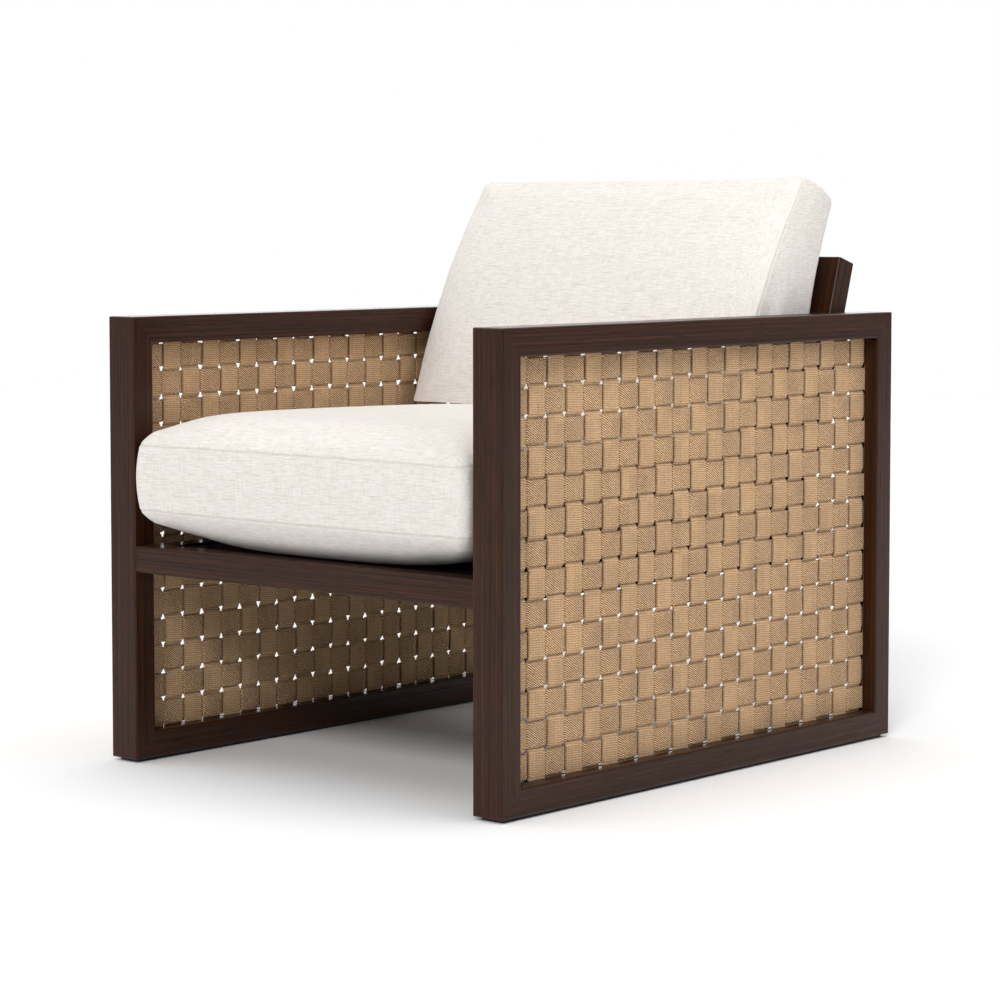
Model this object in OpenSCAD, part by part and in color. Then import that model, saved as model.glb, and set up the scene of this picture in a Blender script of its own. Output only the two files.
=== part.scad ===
// Lounge armchair: two mitred side frames filled with woven webbing, a seat
// frame between them, a raked back frame, and loose seat and back cushions.
// X runs across the chair, -Y is the front and Z is up. The origin is on the
// floor under the middle of the chair. Left and right are the sitter's own,
// so the left side is at +X.

/* [Overall] */
// Width over the two side frames
width = 735; // [640:5:900]
// Depth of the side frames, front to back
depth = 890; // [850:5:1080]
// Height of the arms above the floor
arm_height = 635; // [590:5:720]
// Height of the top of the seat rails above the floor
seat_rail_top = 311; // [240:1:340]

/* [Wood stock] */
// Wide side of the stock that all frame pieces are cut from
stock_w = 51; // [44:1:62]
// Narrow side of the stock
stock_h = 38; // [36:1:46]
// Radius of the eased long edges
edge_r = 3; // [1:0.5:6]
// Radius of the outer corners of the side frames
corner_r = 4; // [2:0.5:10]
// Set-back of the seat rails from the faces of the legs
rail_setback = 2; // [1:0.5:5]

/* [Back frame] */
// Lean of the back from upright, in degrees
rake = 17; // [10:1:22]
// Length of the back posts along their front faces
post_length = 424; // [390:2:480]
// Front of the foot of the back posts, behind the middle of the chair
post_foot_y = 258; // [220:2:290]
// Gap under the bottom rail of the back frame, along the posts
back_rail_gap = 20; // [10:1:60]

/* [Webbing] */
// Width of one webbing strap
strap_w = 34; // [28:0.5:36]
// Thickness of one webbing strap
strap_t = 1.8; // [1.2:0.1:2.4]
// Spacing of the straps that the weave is rounded to
strap_pitch = 39; // [38:0.5:44]
// Depth that the strap ends reach into the frame groove
strap_tail = 8; // [5:0.5:9]
// Height of the key strip that the strap ends are stapled to
key_h = 5; // [4:0.5:6]
// Thickness of the key strip
key_t = 6; // [5:0.5:7]

/* [Seat deck] */
// Width of one elastic deck strap
deck_strap_w = 60; // [40:1:64]
// Thickness of one elastic deck strap
deck_strap_t = 1.8; // [1.2:0.1:2.2]
// Spacing of the deck straps that the weave is rounded to
deck_pitch = 78; // [74:1:100]
// Width of the ledge that the deck is stapled to
ledge_w = 14; // [10:1:18]
// Depth of the ledge under the top of the seat rails
ledge_d = 8; // [7:0.5:10]
// Thickness of the deck cloth
cloth_t = 0.8; // [0.5:0.1:1.5]

/* [Cushions] */
// Height of the loose seat cushion under the back cushion
seat_cushion_h = 188.7; // [120:0.1:220]
// Radius of the corners of the seat cushion, seen from above
cushion_corner_r = 34; // [15:1:60]
// Height of the back cushion above the seat cushion
back_cushion_h = 328; // [260:1:400]
// Thickness of the back cushion at its foot
back_cushion_foot = 182; // [120:1:210]
// Thickness of the back cushion at its top
back_cushion_top = 96; // [60:1:120]
// Drop of the back cushion's top from its front edge to its rear edge
back_cushion_drop = 27; // [0:1:40]

/* [Joinery and fittings] */
// Thickness of the floor glide strips
glide_t = 4.5; // [3:0.5:8]
// Width of the floor glide strips
glide_w = 35; // [20:1:38]
// Set-back of the glide strips from the ends of the side frames
glide_inset = 10; // [5:1:40]
// Length of the loose tenons across the mitres
tenon_l = 30; // [20:1:30]
// Width of the loose tenons along the mitre
tenon_w = 14; // [10:1:14]
// Thickness of the loose tenons
tenon_t = 12; // [8:1:14]
// Side of the square tenons on the front and rear seat rails
rail_tenon = 22; // [16:1:24]
// Length of the square tenons
rail_tenon_l = 20; // [12:1:21]
// Diameter of the dowels
dowel_d = 10; // [8:1:10]
// Length of the dowels
dowel_l = 50; // [30:2:60]
// Diameter of the bolts that hold the posts to the arms
bolt_d = 6; // [5:1:6]
// Diameter of the screws under the post feet
screw_d = 6; // [4:0.5:7]
// Length of the screws that is held in the post feet
screw_reach = 30; // [20:1:32]

/* [Clearances] */
// Gap round tenons, dowels, bolts and screws in their holes
joint_gap = 0.1; // [0.05:0.05:0.3]
// Gap between the cushions and the wood beside them
cushion_gap = 1.2; // [0.5:0.1:4]
// Gap between the cushions and what they rest on
rest_gap = 0.3; // [0.3:0.1:1]
// Gap between the seat cushion and the feet of the back posts
seat_rear_gap = 4; // [2:0.5:10]
// Gap between two straps where they cross
weave_gap = 0.1; // [0.05:0.05:0.2]

/* [Hidden] */
$fn = 32;
half_w = width / 2;
half_d = depth / 2;
side_in = half_w - stock_w;
side_mid = half_w - stock_w / 2;
frame_h = arm_height - glide_t;
groove_w = key_t + 2 * joint_gap;
groove_d = strap_tail + key_h + joint_gap;
through = 1;

// Opening of a side frame
side_open_d = depth - 2 * stock_h;
side_open_h = frame_h - 2 * stock_h;

// Seat frame
rail_z = seat_rail_top - stock_h;
rail_mid_z = seat_rail_top - stock_h / 2;
rail_front_y = -half_d + rail_setback;
rail_rear_y = half_d - rail_setback;
bay_front_y = rail_front_y + stock_w;
bay_rear_y = rail_rear_y - stock_w;
bay_half_w = side_in - stock_w;
cross_y = post_foot_y - stock_w / 2;
rail_dowel_rise = 12;
rail_dowel_z = rail_z + rail_dowel_rise;
tenon_mid_y = half_d - stock_h / 2;

// Deck bay between the front rail and the cross rail
deck_len = cross_y - bay_front_y;
deck_z = seat_rail_top - ledge_d;
deck_set_in = 2;
deck_tail = ledge_w - deck_set_in;

// Back frame, in its own raked axes: Y through its thickness, Z up the posts
back_low = back_rail_gap + stock_w;
back_high = post_length - stock_w;
back_open_h = back_high - back_low;
dowel_edge = 12;
dowel_web = 3;
dowel_far = stock_w - groove_d - dowel_d / 2 - dowel_web;
back_bottom_dowels = [back_rail_gap + dowel_edge, back_rail_gap + dowel_far];
back_top_dowels = [post_length - dowel_far, post_length - dowel_edge];

// Bolts through the posts into the arms
bolt_mid_z = arm_height - stock_h / 2;
bolt_rise = 9;
bolt_in_from_rear = 8;
bolt_behind = stock_h - bolt_in_from_rear;
bolt_sink = 10;
bolt_head_d = 10;
bolt_head_h = 6;
bolt_socket_d = 0.85 * bolt_d;
washer_d = 12;
washer_t = 1.6;
insert_d = 9.5;
insert_web = 3.4;
insert_l = (stock_w - groove_w) / 2 - insert_web;
bolt_end_gap = 1.6;
bolt_l = stock_w - bolt_sink + washer_t + insert_l - bolt_end_gap;

// Screws up through the seat rails into the post feet
screw_from_side = 14;
screw_x = side_in - screw_from_side;
screw_first = 18;
screw_step = 14;
screw_sink = 8;
screw_head_d = 11;
screw_head_h = 4;
screw_head_room = 2;
screw_l = stock_h - screw_sink + screw_reach;

// Cushions
seat_low_z = seat_rail_top + rest_gap;
seat_high_z = seat_low_z + seat_cushion_h;
seat_rear_y = post_foot_y - seat_rear_gap;
back_low_z = seat_high_z + rest_gap;
cushion_half_w = side_in - cushion_gap;
back_round = 16;

WOOD = "#4a352c";
JUTE = "#b08d62";
LINEN = "#e6e1d8";
STEEL = "#b9bcc0";
BLACK = "#1c1c1d";
BEECH = "#cfae82";

// ---- shared shapes -------------------------------------------------------

// Rectangle with round corners, centred
module round_rect(w, h, r) {
    square([w - 2 * r, h], center = true);
    square([w, h - 2 * r], center = true);
    for (x = [-1, 1], y = [-1, 1])
        translate([x * (w / 2 - r), y * (h / 2 - r)]) circle(r);
}

// Box given by its low and high corners
module box(low, high) {
    translate(low) cube(high - low);
}

// Stock with eased edges along X, Y or Z; w and h are its two sides
module bar_x(low, len, w, h) {
    translate([low[0], low[1] + w / 2, low[2] + h / 2])
        rotate([90, 0, 90]) linear_extrude(len) round_rect(w, h, edge_r);
}
module bar_y(low, len, w, h) {
    translate([low[0] + w / 2, low[1], low[2] + h / 2])
        rotate([-90, 0, 0]) linear_extrude(len) round_rect(w, h, edge_r);
}
module bar_z(low, len, w, h) {
    translate([low[0] + w / 2, low[1] + h / 2, low[2]])
        linear_extrude(len) round_rect(w, h, edge_r);
}

// Rod along X, Y or Z, centred on a point
module rod_x(at, d, len) {
    translate(at) rotate([0, 90, 0]) cylinder(d = d, h = len, center = true);
}
module rod_y(at, d, len) {
    translate(at) rotate([90, 0, 0]) cylinder(d = d, h = len, center = true);
}

// Copies for both sides of the chair
module both_sides() {
    children();
    mirror([1, 0, 0]) children();
}

// ---- woven panels --------------------------------------------------------
// A panel lies in its own XY plane with its opening's corner at the origin.

// Centre line of a strap: under and over each crossing strap in turn
function strap_path(len, n, w, lift, tail, first) = concat(
    [[-tail, first * lift]],
    [for (i = [0:n - 1], e = [-1, 1])
        [(i + 0.5) * len / n + e * w / 2, (i % 2 == 0 ? 1 : -1) * first * lift]],
    [[len + tail, (n % 2 == 1 ? 1 : -1) * first * lift]]);

module strap(path, w, t) {
    up = [for (p = path) [p[0], p[1] + t / 2]];
    down = [for (k = [len(path) - 1:-1:0]) [path[k][0], path[k][1] - t / 2]];
    linear_extrude(w, center = true) polygon(concat(up, down));
}

// Straps that run along the panel's Y
module upright_straps(size, count, w, t, lift, tail) {
    pitch = size[0] / count[0];
    for (j = [0:count[0] - 1])
        translate([(j + 0.5) * pitch, 0, 0]) rotate([90, 0, 90])
            strap(strap_path(size[1], count[1], w, lift, tail, j % 2 == 0 ? 1 : -1), w, t);
}

// Straps that run along the panel's X
module level_straps(size, count, w, t, lift, tail) {
    pitch = size[1] / count[1];
    for (i = [0:count[1] - 1])
        translate([0, (i + 0.5) * pitch, 0]) rotate([90, 0, 0])
            strap(strap_path(size[0], count[0], w, lift, tail, i % 2 == 0 ? -1 : 1), w, t);
}

// Key strips at the bottom of the groove, one on each edge of the opening
module strap_keys(size) {
    reach = strap_tail + key_h;
    for (low = [-reach, size[1] + strap_tail])
        box([0, low, -key_t / 2], [size[0], low + key_h, key_t / 2]);
    for (low = [-reach, size[0] + strap_tail])
        box([low, 0, -key_t / 2], [low + key_h, size[1], key_t / 2]);
}

// Slab that cuts the groove into every edge of the opening
module panel_groove(size) {
    box([-groove_d, -groove_d, -groove_w / 2],
        [size[0] + groove_d, size[1] + groove_d, groove_w / 2]);
}

// ---- side frames ---------------------------------------------------------

side_size = [side_open_d, side_open_h];
side_count = [round(side_open_d / strap_pitch), round(side_open_h / strap_pitch)];
strap_lift = (strap_t + weave_gap) / 2;

// Places a panel in the opening of the left side frame
module in_side() {
    translate([side_mid, -half_d + stock_h, glide_t + stock_h]) rotate([90, 0, 90]) children();
}

// Outline of the whole side frame with its corners rounded, cut to one piece
module side_cut(outline) {
    translate([side_in - through, 0, 0]) rotate([90, 0, 90])
        linear_extrude(stock_w + 2 * through) intersection() {
            polygon(outline);
            translate([0, glide_t + frame_h / 2]) round_rect(depth, frame_h, corner_r);
        }
}

// Loose tenons across the four mitres
module mitre_tenons(gap) {
    mid = stock_h / 2;
    for (y = [-1, 1], top = [0, 1]) {
        z = top == 1 ? arm_height - mid : glide_t + mid;
        turn = (y == 1) == (top == 1) ? 45 : -45;
        translate([side_mid, y * (half_d - mid), z]) rotate([turn, 0, 0])
            cube([tenon_t + 2 * gap, tenon_l + 2 * gap, tenon_w + 2 * gap], center = true);
    }
}

module side_recesses() {
    in_side() panel_groove(side_size);
    mitre_tenons(joint_gap);
    seat_rail_tenons(joint_gap);
    arm_bores();
}

// Upright piece; y is -1 for the front and 1 for the rear
module stile(y) {
    e = half_d;
    h = stock_h;
    difference() {
        intersection() {
            bar_z([side_in, y < 0 ? -e : e - h, glide_t], frame_h, stock_w, h);
            side_cut([[y * e, glide_t], [y * (e - h), glide_t + h],
                [y * (e - h), arm_height - h], [y * e, arm_height]]);
        }
        side_recesses();
    }
}

// Level piece; top is 1 for the arm and 0 for the floor rail
module side_rail(top) {
    e = half_d;
    h = stock_h;
    out = top == 1 ? arm_height : glide_t;
    in = top == 1 ? arm_height - h : glide_t + h;
    difference() {
        intersection() {
            bar_y([side_in, -e, min(out, in)], depth, stock_w, h);
            side_cut([[-e, out], [e, out], [e - h, in], [-e + h, in]]);
        }
        side_recesses();
    }
}

module glide_strip() {
    box([side_mid - glide_w / 2, -half_d + glide_inset, 0],
        [side_mid + glide_w / 2, half_d - glide_inset, glide_t]);
}

// ---- seat frame ----------------------------------------------------------

// Square tenons at the ends of the front and rear seat rails
module seat_rail_tenons(gap) {
    s = rail_tenon / 2 + gap;
    for (y = [-tenon_mid_y, tenon_mid_y])
        box([side_in - through, y - s, rail_mid_z - s],
            [side_in + rail_tenon_l + gap, y + s, rail_mid_z + s]);
}

// Dowels between the seat rails
module seat_frame_dowels(gap) {
    d = dowel_d + 2 * gap;
    len = dowel_l + 2 * gap;
    for (x = [bay_half_w + stock_w / 4, side_in - stock_w / 4], y = [bay_front_y, bay_rear_y])
        rod_y([x, y, rail_dowel_z], d, len);
    for (y = [cross_y + stock_w / 3, cross_y + stock_w * 2 / 3])
        rod_x([bay_half_w, y, rail_dowel_z], d, len);
}

// Ledge for the seat deck, cut round the deck bay
module deck_recess() {
    box([-bay_half_w - ledge_w, bay_front_y - ledge_w, deck_z],
        [bay_half_w + ledge_w, cross_y + ledge_w, seat_rail_top + through]);
}

// Front or rear seat rail, from side frame to side frame
module end_rail(y) {
    low_y = y < 0 ? rail_front_y : rail_rear_y - stock_w;
    difference() {
        union() {
            bar_x([-side_in, low_y, rail_z], 2 * side_in, stock_w, stock_h);
            intersection() {
                both_sides() seat_rail_tenons(0);
                box([-width, min(0, y * depth), 0], [width, max(0, y * depth), arm_height]);
            }
        }
        both_sides() seat_frame_dowels(joint_gap);
        deck_recess();
    }
}

// Seat rail beside the left side frame
module long_rail() {
    difference() {
        bar_y([bay_half_w, bay_front_y, rail_z], bay_rear_y - bay_front_y, stock_w, stock_h);
        seat_frame_dowels(joint_gap);
        foot_bores();
        deck_recess();
    }
}

module cross_rail() {
    difference() {
        bar_x([-bay_half_w, cross_y, rail_z], 2 * bay_half_w, stock_w, stock_h);
        both_sides() seat_frame_dowels(joint_gap);
        deck_recess();
    }
}

// ---- seat deck -----------------------------------------------------------

deck_size = [2 * bay_half_w, deck_len];
deck_count = [round(2 * bay_half_w / deck_pitch), round(deck_len / deck_pitch)];
deck_strap_lift = (deck_strap_t + weave_gap) / 2;
deck_mid_z = deck_z + deck_strap_lift + deck_strap_t / 2;

module in_deck() {
    translate([-bay_half_w, bay_front_y, deck_mid_z]) children();
}

module deck_cloth_sheet() {
    low = deck_z + 2 * deck_strap_lift + deck_strap_t + joint_gap;
    box([-bay_half_w - deck_tail, bay_front_y - deck_tail, low],
        [bay_half_w + deck_tail, cross_y + deck_tail, low + cloth_t]);
}

// ---- back frame ----------------------------------------------------------

// Front of the back posts at a height
function post_front(z) = post_foot_y + (z - seat_rail_top) * tan(rake);

// Back frame axes: leaning back from the front of the post feet
module raked() {
    translate([0, post_foot_y, seat_rail_top]) rotate([-rake, 0, 0]) children();
}

back_size = [2 * bay_half_w, back_open_h];
back_count = [round(2 * bay_half_w / strap_pitch), round(back_open_h / strap_pitch)];

module in_back() {
    raked() translate([-bay_half_w, stock_h / 2, back_low]) rotate([90, 0, 0]) children();
}

module back_rail_dowels(gap) {
    for (z = concat(back_bottom_dowels, back_top_dowels))
        rod_x([bay_half_w, stock_h / 2, z], dowel_d + 2 * gap, dowel_l + 2 * gap);
}

// Left back post, cut level where it stands on the seat rail
module back_post() {
    spare = stock_h;
    difference() {
        raked() bar_z([bay_half_w, 0, -spare], post_length + spare, stock_w, stock_h);
        box([0, 0, 0], [width, depth, seat_rail_top]);
        raked() back_rail_dowels(joint_gap);
        in_back() panel_groove(back_size);
        post_bores();
        foot_bores();
    }
}

module back_rail(low) {
    difference() {
        raked() bar_x([-bay_half_w, 0, low], 2 * bay_half_w, stock_h, stock_w);
        raked() both_sides() back_rail_dowels(joint_gap);
        in_back() panel_groove(back_size);
    }
}

// ---- bolts and screws ----------------------------------------------------

// Places something at each of the two bolts of the left post
module at_bolts(x) {
    for (rise = [-bolt_rise, bolt_rise]) {
        z = bolt_mid_z + rise;
        translate([x, post_front(z) + bolt_behind / cos(rake), z]) children();
    }
}

// Bores and head pockets through the post
module post_bores() {
    at_bolts(side_in) rod_x([0, 0, 0], bolt_d + 2 * joint_gap, 2 * stock_w);
    at_bolts(bay_half_w) rod_x([0, 0, 0], washer_d + 2 * joint_gap, 2 * bolt_sink);
}

// Bores for the threaded inserts in the arm
module arm_bores() {
    at_bolts(side_in) rod_x([0, 0, 0], insert_d, 2 * (insert_l + joint_gap));
}

module bolts() {
    at_bolts(bay_half_w + bolt_sink - washer_t) difference() {
        union() {
            rod_x([bolt_l / 2, 0, 0], bolt_d, bolt_l);
            rod_x([-bolt_head_h / 2, 0, 0], bolt_head_d, bolt_head_h);
        }
        // Hex socket
        translate([-bolt_head_h - through, 0, 0]) rotate([0, 90, 0])
            cylinder(d = bolt_socket_d, h = bolt_head_h / 2 + through, $fn = 6);
    }
}

module washers() {
    at_bolts(bay_half_w + bolt_sink - washer_t / 2) difference() {
        rod_x([0, 0, 0], washer_d, washer_t);
        rod_x([0, 0, 0], bolt_d + 2 * joint_gap, 2 * washer_t);
    }
}

module inserts() {
    at_bolts(side_in + insert_l / 2) difference() {
        rod_x([0, 0, 0], insert_d, insert_l);
        rod_x([0, 0, 0], bolt_d + 2 * joint_gap, insert_l + 2 * through);
    }
}

// Places something at each of the two screws under the left post
module at_screws() {
    for (y = [screw_first, screw_first + screw_step])
        translate([screw_x, post_foot_y + y, rail_z]) children();
}

module foot_bores() {
    at_screws() {
        translate([0, 0, -through])
            cylinder(d = screw_head_d + screw_head_room, h = screw_sink + screw_head_h + through);
        cylinder(d = screw_d + 2 * joint_gap, h = screw_sink + screw_l + joint_gap);
    }
}

module screw_pair() {
    at_screws() translate([0, 0, screw_sink]) {
        cylinder(d = screw_d, h = screw_l);
        cylinder(d = screw_head_d, h = screw_head_h);
    }
}

// ---- cushions ------------------------------------------------------------

module seat_pad() {
    long = seat_rear_y - rail_front_y;
    translate([0, (seat_rear_y + rail_front_y) / 2, seat_low_z])
        linear_extrude(seat_cushion_h) round_rect(2 * cushion_half_w, long, cushion_corner_r);
}

module back_pad() {
    foot_y = post_front(back_low_z) - cushion_gap;
    rear_z = back_low_z + back_cushion_h - back_cushion_drop;
    rear_y = post_front(rear_z) - cushion_gap;
    top_z = back_low_z + back_cushion_h;
    r = back_round;
    slant = r * (1 / cos(rake) + tan(rake));
    low = r * (1 / cos(rake) - tan(rake));
    translate([-cushion_half_w, 0, 0]) rotate([90, 0, 90])
        linear_extrude(2 * cushion_half_w) hull() {
            translate([foot_y - low, back_low_z + r]) circle(r);
            translate([rear_y - slant, rear_z - r]) circle(r);
            translate([rear_y - back_cushion_top + r, top_z - r]) circle(r);
            translate([foot_y - back_cushion_foot + r, back_low_z + r]) circle(r);
        }
}

// ---- nodes ---------------------------------------------------------------

module left_front_stile() color(WOOD) stile(-1);
module left_rear_stile() color(WOOD) stile(1);
module left_arm_rail() color(WOOD) side_rail(1);
module left_floor_rail() color(WOOD) side_rail(0);
module left_mitre_tenons() color(BEECH) mitre_tenons(0);
module left_upright_straps() color(JUTE) in_side()
    upright_straps(side_size, side_count, strap_w, strap_t, strap_lift, strap_tail);
module left_level_straps() color(JUTE) in_side()
    level_straps(side_size, side_count, strap_w, strap_t, strap_lift, strap_tail);
module left_strap_keys() color(BEECH) in_side() strap_keys(side_size);
module left_glide_strip() color(BLACK) glide_strip();

module right_front_stile() mirror([1, 0, 0]) left_front_stile();
module right_rear_stile() mirror([1, 0, 0]) left_rear_stile();
module right_arm_rail() mirror([1, 0, 0]) left_arm_rail();
module right_floor_rail() mirror([1, 0, 0]) left_floor_rail();
module right_mitre_tenons() mirror([1, 0, 0]) left_mitre_tenons();
module right_upright_straps() mirror([1, 0, 0]) left_upright_straps();
module right_level_straps() mirror([1, 0, 0]) left_level_straps();
module right_strap_keys() mirror([1, 0, 0]) left_strap_keys();
module right_glide_strip() mirror([1, 0, 0]) left_glide_strip();

module seat_front_rail() color(WOOD) end_rail(-1);
module seat_rear_rail() color(WOOD) end_rail(1);
module left_seat_rail() color(WOOD) long_rail();
module right_seat_rail() mirror([1, 0, 0]) left_seat_rail();
module seat_cross_rail() color(WOOD) cross_rail();
module seat_dowels() color(BEECH) both_sides() seat_frame_dowels(0);
module deck_cross_straps() color(BLACK) in_deck()
    level_straps(deck_size, deck_count, deck_strap_w, deck_strap_t, deck_strap_lift, deck_tail);
module deck_long_straps() color(BLACK) in_deck()
    upright_straps(deck_size, deck_count, deck_strap_w, deck_strap_t, deck_strap_lift, deck_tail);
module deck_cloth() color(BLACK) deck_cloth_sheet();

module left_back_post() color(WOOD) back_post();
module right_back_post() mirror([1, 0, 0]) left_back_post();
module back_top_rail() color(WOOD) back_rail(back_high);
module back_bottom_rail() color(WOOD) back_rail(back_rail_gap);
module back_dowels() color(BEECH) raked() both_sides() back_rail_dowels(0);
module back_upright_straps() color(JUTE) in_back()
    upright_straps(back_size, back_count, strap_w, strap_t, strap_lift, strap_tail);
module back_level_straps() color(JUTE) in_back()
    level_straps(back_size, back_count, strap_w, strap_t, strap_lift, strap_tail);
module back_strap_keys() color(BEECH) in_back() strap_keys(back_size);

module post_bolts() color(STEEL) both_sides() bolts();
module post_washers() color(STEEL) both_sides() washers();
module arm_inserts() color(STEEL) both_sides() inserts();
module post_screws() color(STEEL) both_sides() screw_pair();

module seat_cushion() color(LINEN) seat_pad();
module back_cushion() color(LINEN) back_pad();

left_front_stile();
left_rear_stile();
left_arm_rail();
left_floor_rail();
left_mitre_tenons();
left_upright_straps();
left_level_straps();
left_strap_keys();
left_glide_strip();
right_front_stile();
right_rear_stile();
right_arm_rail();
right_floor_rail();
right_mitre_tenons();
right_upright_straps();
right_level_straps();
right_strap_keys();
right_glide_strip();
seat_front_rail();
seat_rear_rail();
left_seat_rail();
right_seat_rail();
seat_cross_rail();
seat_dowels();
deck_cross_straps();
deck_long_straps();
deck_cloth();
left_back_post();
right_back_post();
back_top_rail();
back_bottom_rail();
back_dowels();
back_upright_straps();
back_level_straps();
back_strap_keys();
post_bolts();
post_washers();
arm_inserts();
post_screws();
seat_cushion();
back_cushion();
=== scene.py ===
"""Looks for a lounge armchair: woven jute sides, dark stained ash frame, loose linen cushions.

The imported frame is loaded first. Every size below is in metres, in the frame's own axes:
X across the chair, -Y to the front, Z up, left and right as the sitter has them.
"""

import math
from math import radians

import bpy
import numpy as np
from bpy.props import FloatProperty, FloatVectorProperty, PointerProperty
from mathutils import Matrix, Vector


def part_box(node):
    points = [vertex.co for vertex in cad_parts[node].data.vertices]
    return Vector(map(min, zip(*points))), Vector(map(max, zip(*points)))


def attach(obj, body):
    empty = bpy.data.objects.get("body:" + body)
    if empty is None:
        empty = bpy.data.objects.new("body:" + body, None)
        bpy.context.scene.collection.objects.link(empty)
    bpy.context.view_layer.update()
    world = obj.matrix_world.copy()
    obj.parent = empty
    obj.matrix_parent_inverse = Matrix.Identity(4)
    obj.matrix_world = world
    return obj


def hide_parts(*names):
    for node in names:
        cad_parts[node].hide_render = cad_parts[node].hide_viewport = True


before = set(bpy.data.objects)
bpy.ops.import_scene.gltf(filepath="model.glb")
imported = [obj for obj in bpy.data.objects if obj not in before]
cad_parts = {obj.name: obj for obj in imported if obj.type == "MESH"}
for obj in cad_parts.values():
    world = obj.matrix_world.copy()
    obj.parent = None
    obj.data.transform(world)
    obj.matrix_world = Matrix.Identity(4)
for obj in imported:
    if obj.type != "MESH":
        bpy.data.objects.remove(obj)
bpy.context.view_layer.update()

bl_info = {
    "name": "Woven armchair looks",
    "version": (1, 0, 0),
    "blender": (4, 5, 0),
    "location": "3D View > Sidebar > Armchair",
    "description": "Webbing, cushions, finishes and studio for a woven lounge armchair",
    "category": "Object",
}

MM = 0.001
SIDES = (("left", 1), ("right", -1))


def linear(code):
    """Linear RGBA of an sRGB hex colour."""
    parts = [int(code[i : i + 2], 16) / 255 for i in (1, 3, 5)]
    return [c / 12.92 if c <= 0.04045 else ((c + 0.055) / 1.055) ** 2.4 for c in parts] + [1.0]


def colour(label, note, code):
    """Colour property with its default given as a hex colour."""
    return FloatVectorProperty(
        name=label, description=note, subtype="COLOR", size=4, min=0, max=1, default=linear(code)
    )


def length(label, note, default):
    """Length property in metres."""
    return FloatProperty(
        name=label, description=note, default=default, unit="LENGTH", subtype="DISTANCE", precision=4
    )


class FrameFinish(bpy.types.PropertyGroup):
    """Stained ash and the fittings."""

    stain_dark: colour("Stain, dark", "Colour in the pores and the late wood", "#160a04")
    stain_mid: colour("Stain, middle", "Main colour of the stained wood", "#371c0d")
    stain_light: colour("Stain, light", "Colour of the early wood streaks", "#58321d")
    pore_width: length("Pore width", "Width of one pore streak", 0.0008)
    pore_length: length("Pore length", "Length of one pore streak", 0.05)
    streak_width: length("Streak width", "Width of the broad light and dark streaks", 0.0019)
    streak_length: length("Streak length", "Length of the broad streaks", 0.45)


class Webbing(bpy.types.PropertyGroup):
    """Jute webbing of the sides and the back."""

    width: length("Strap width", "Width of one strap", 0.0326)
    thickness: length("Strap thickness", "Thickness of one strap", 0.0018)
    pitch: length("Strap spacing", "Spacing that the weave is rounded to", 0.039)
    tail: length("Tail", "How far the strap ends reach into the frame's groove", 0.008)
    lift: length("Lift", "How far a strap swings out where it passes over another", 0.0021)
    crown: length("Crown", "How much the edges of a raised patch bend down", 0.0004)
    wander: length("Wander", "How far a strap strays from its line", 0.0006)
    twill_pitch: length("Twill spacing", "Distance between two twill lines", 0.0031)
    yarn_pitch: length("Yarn spacing", "Distance between two lengthwise yarns", 0.0029)
    # The light colour is the tops of the yarns; the dark one is painted shade in the hollows between
    # them
    jute_light: colour("Jute, light", "Top of the yarns", "#ebc698")
    jute_dark: colour("Jute, dark", "Hollows between the yarns", "#6b4526")


class Cushions(bpy.types.PropertyGroup):
    """Loose cushions in slubby linen."""

    band_low: length("Lower seam", "Height of the seat's lower seam above its underside", 0.052)
    band_high: length("Upper seam", "Height of the seat's upper seam above its underside", 0.1438)
    seat_rim: length("Seat rim", "Height of the seat's rounded rims above and below its seams", 0.019)
    back_rim: length("Back rim", "Depth of the back cushion's rims before and behind its seams", 0.005)
    seat_crown: length("Seat crown", "How far the seat's top panel rises above its rim", 0.0225)
    seat_belly: length("Seat belly", "How far the seat's bottom panel hangs under its rim", 0.036)
    seat_bulge: length("Seat bulge", "How far the seat's front stands before the rails", 0.017)
    back_crown: length("Back crown", "How far the back cushion's front panel swells", 0.014)
    sunk: length("Sunk", "How far the back cushion has sunk into the seat cushion", 0.009)
    back_stand: length("Back stand", "How far the top of the back cushion stands off the posts", 0.015)
    back_bow: length("Back bow", "How far the back cushion bows forward half way up", 0.018)
    corner: length("Corner", "Radius of the cushions' corners", 0.018)
    pull: length("Pull", "How far the seams are pulled in behind the middle of the band", 0.004)
    swell: length("Swell", "The furthest that the filling pushes the cover out", 0.005)
    linen_light: colour("Linen, light", "Bleached yarns", "#e9e5e0")
    linen_grey: colour("Linen, grey", "Raw flax slubs", "#b2a496")


class Studio(bpy.types.PropertyGroup):
    """Camera and light."""

    azimuth: FloatProperty(
        name="Azimuth", description="Angle round the chair from its front",
        default=radians(40.57), subtype="ANGLE",
    )
    elevation: FloatProperty(
        name="Elevation", description="Angle above the horizon", default=radians(3.94), subtype="ANGLE"
    )
    distance: length("Distance", "Camera to the point it looks at", 4.4781)
    aim_height: length("Aim height", "Height of the point the camera looks at", 0.4663)
    aim_side: length("Aim side", "Sideways offset of that point", -0.0132)
    lens: FloatProperty(name="Lens", description="Focal length in mm on a 36 mm sensor", default=110.89)
    rise: FloatProperty(name="Lens shift", description="Vertical shift of the lens", default=-0.07)
    wall: FloatProperty(name="Wall", description="Brightness of the wall behind", default=1.0)
    backdrop: FloatProperty(
        name="Backdrop", description="How bright shiny faces mirror the lit wall", default=3.0
    )
    daylight: FloatProperty(
        name="Room light", description="Strength of the room's own light", default=0.28
    )
    key: FloatProperty(name="Key light", description="Strength of the front light", default=1.4)
    top: FloatProperty(name="Top light", description="Strength of the top light", default=1.75)
    side: FloatProperty(
        name="Side light", description="Watts of the light over the left side", default=3.6
    )
    fill: FloatProperty(name="Fill light", description="Strength of the left light", default=0.35)


# ---- materials -----------------------------------------------------------

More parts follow.
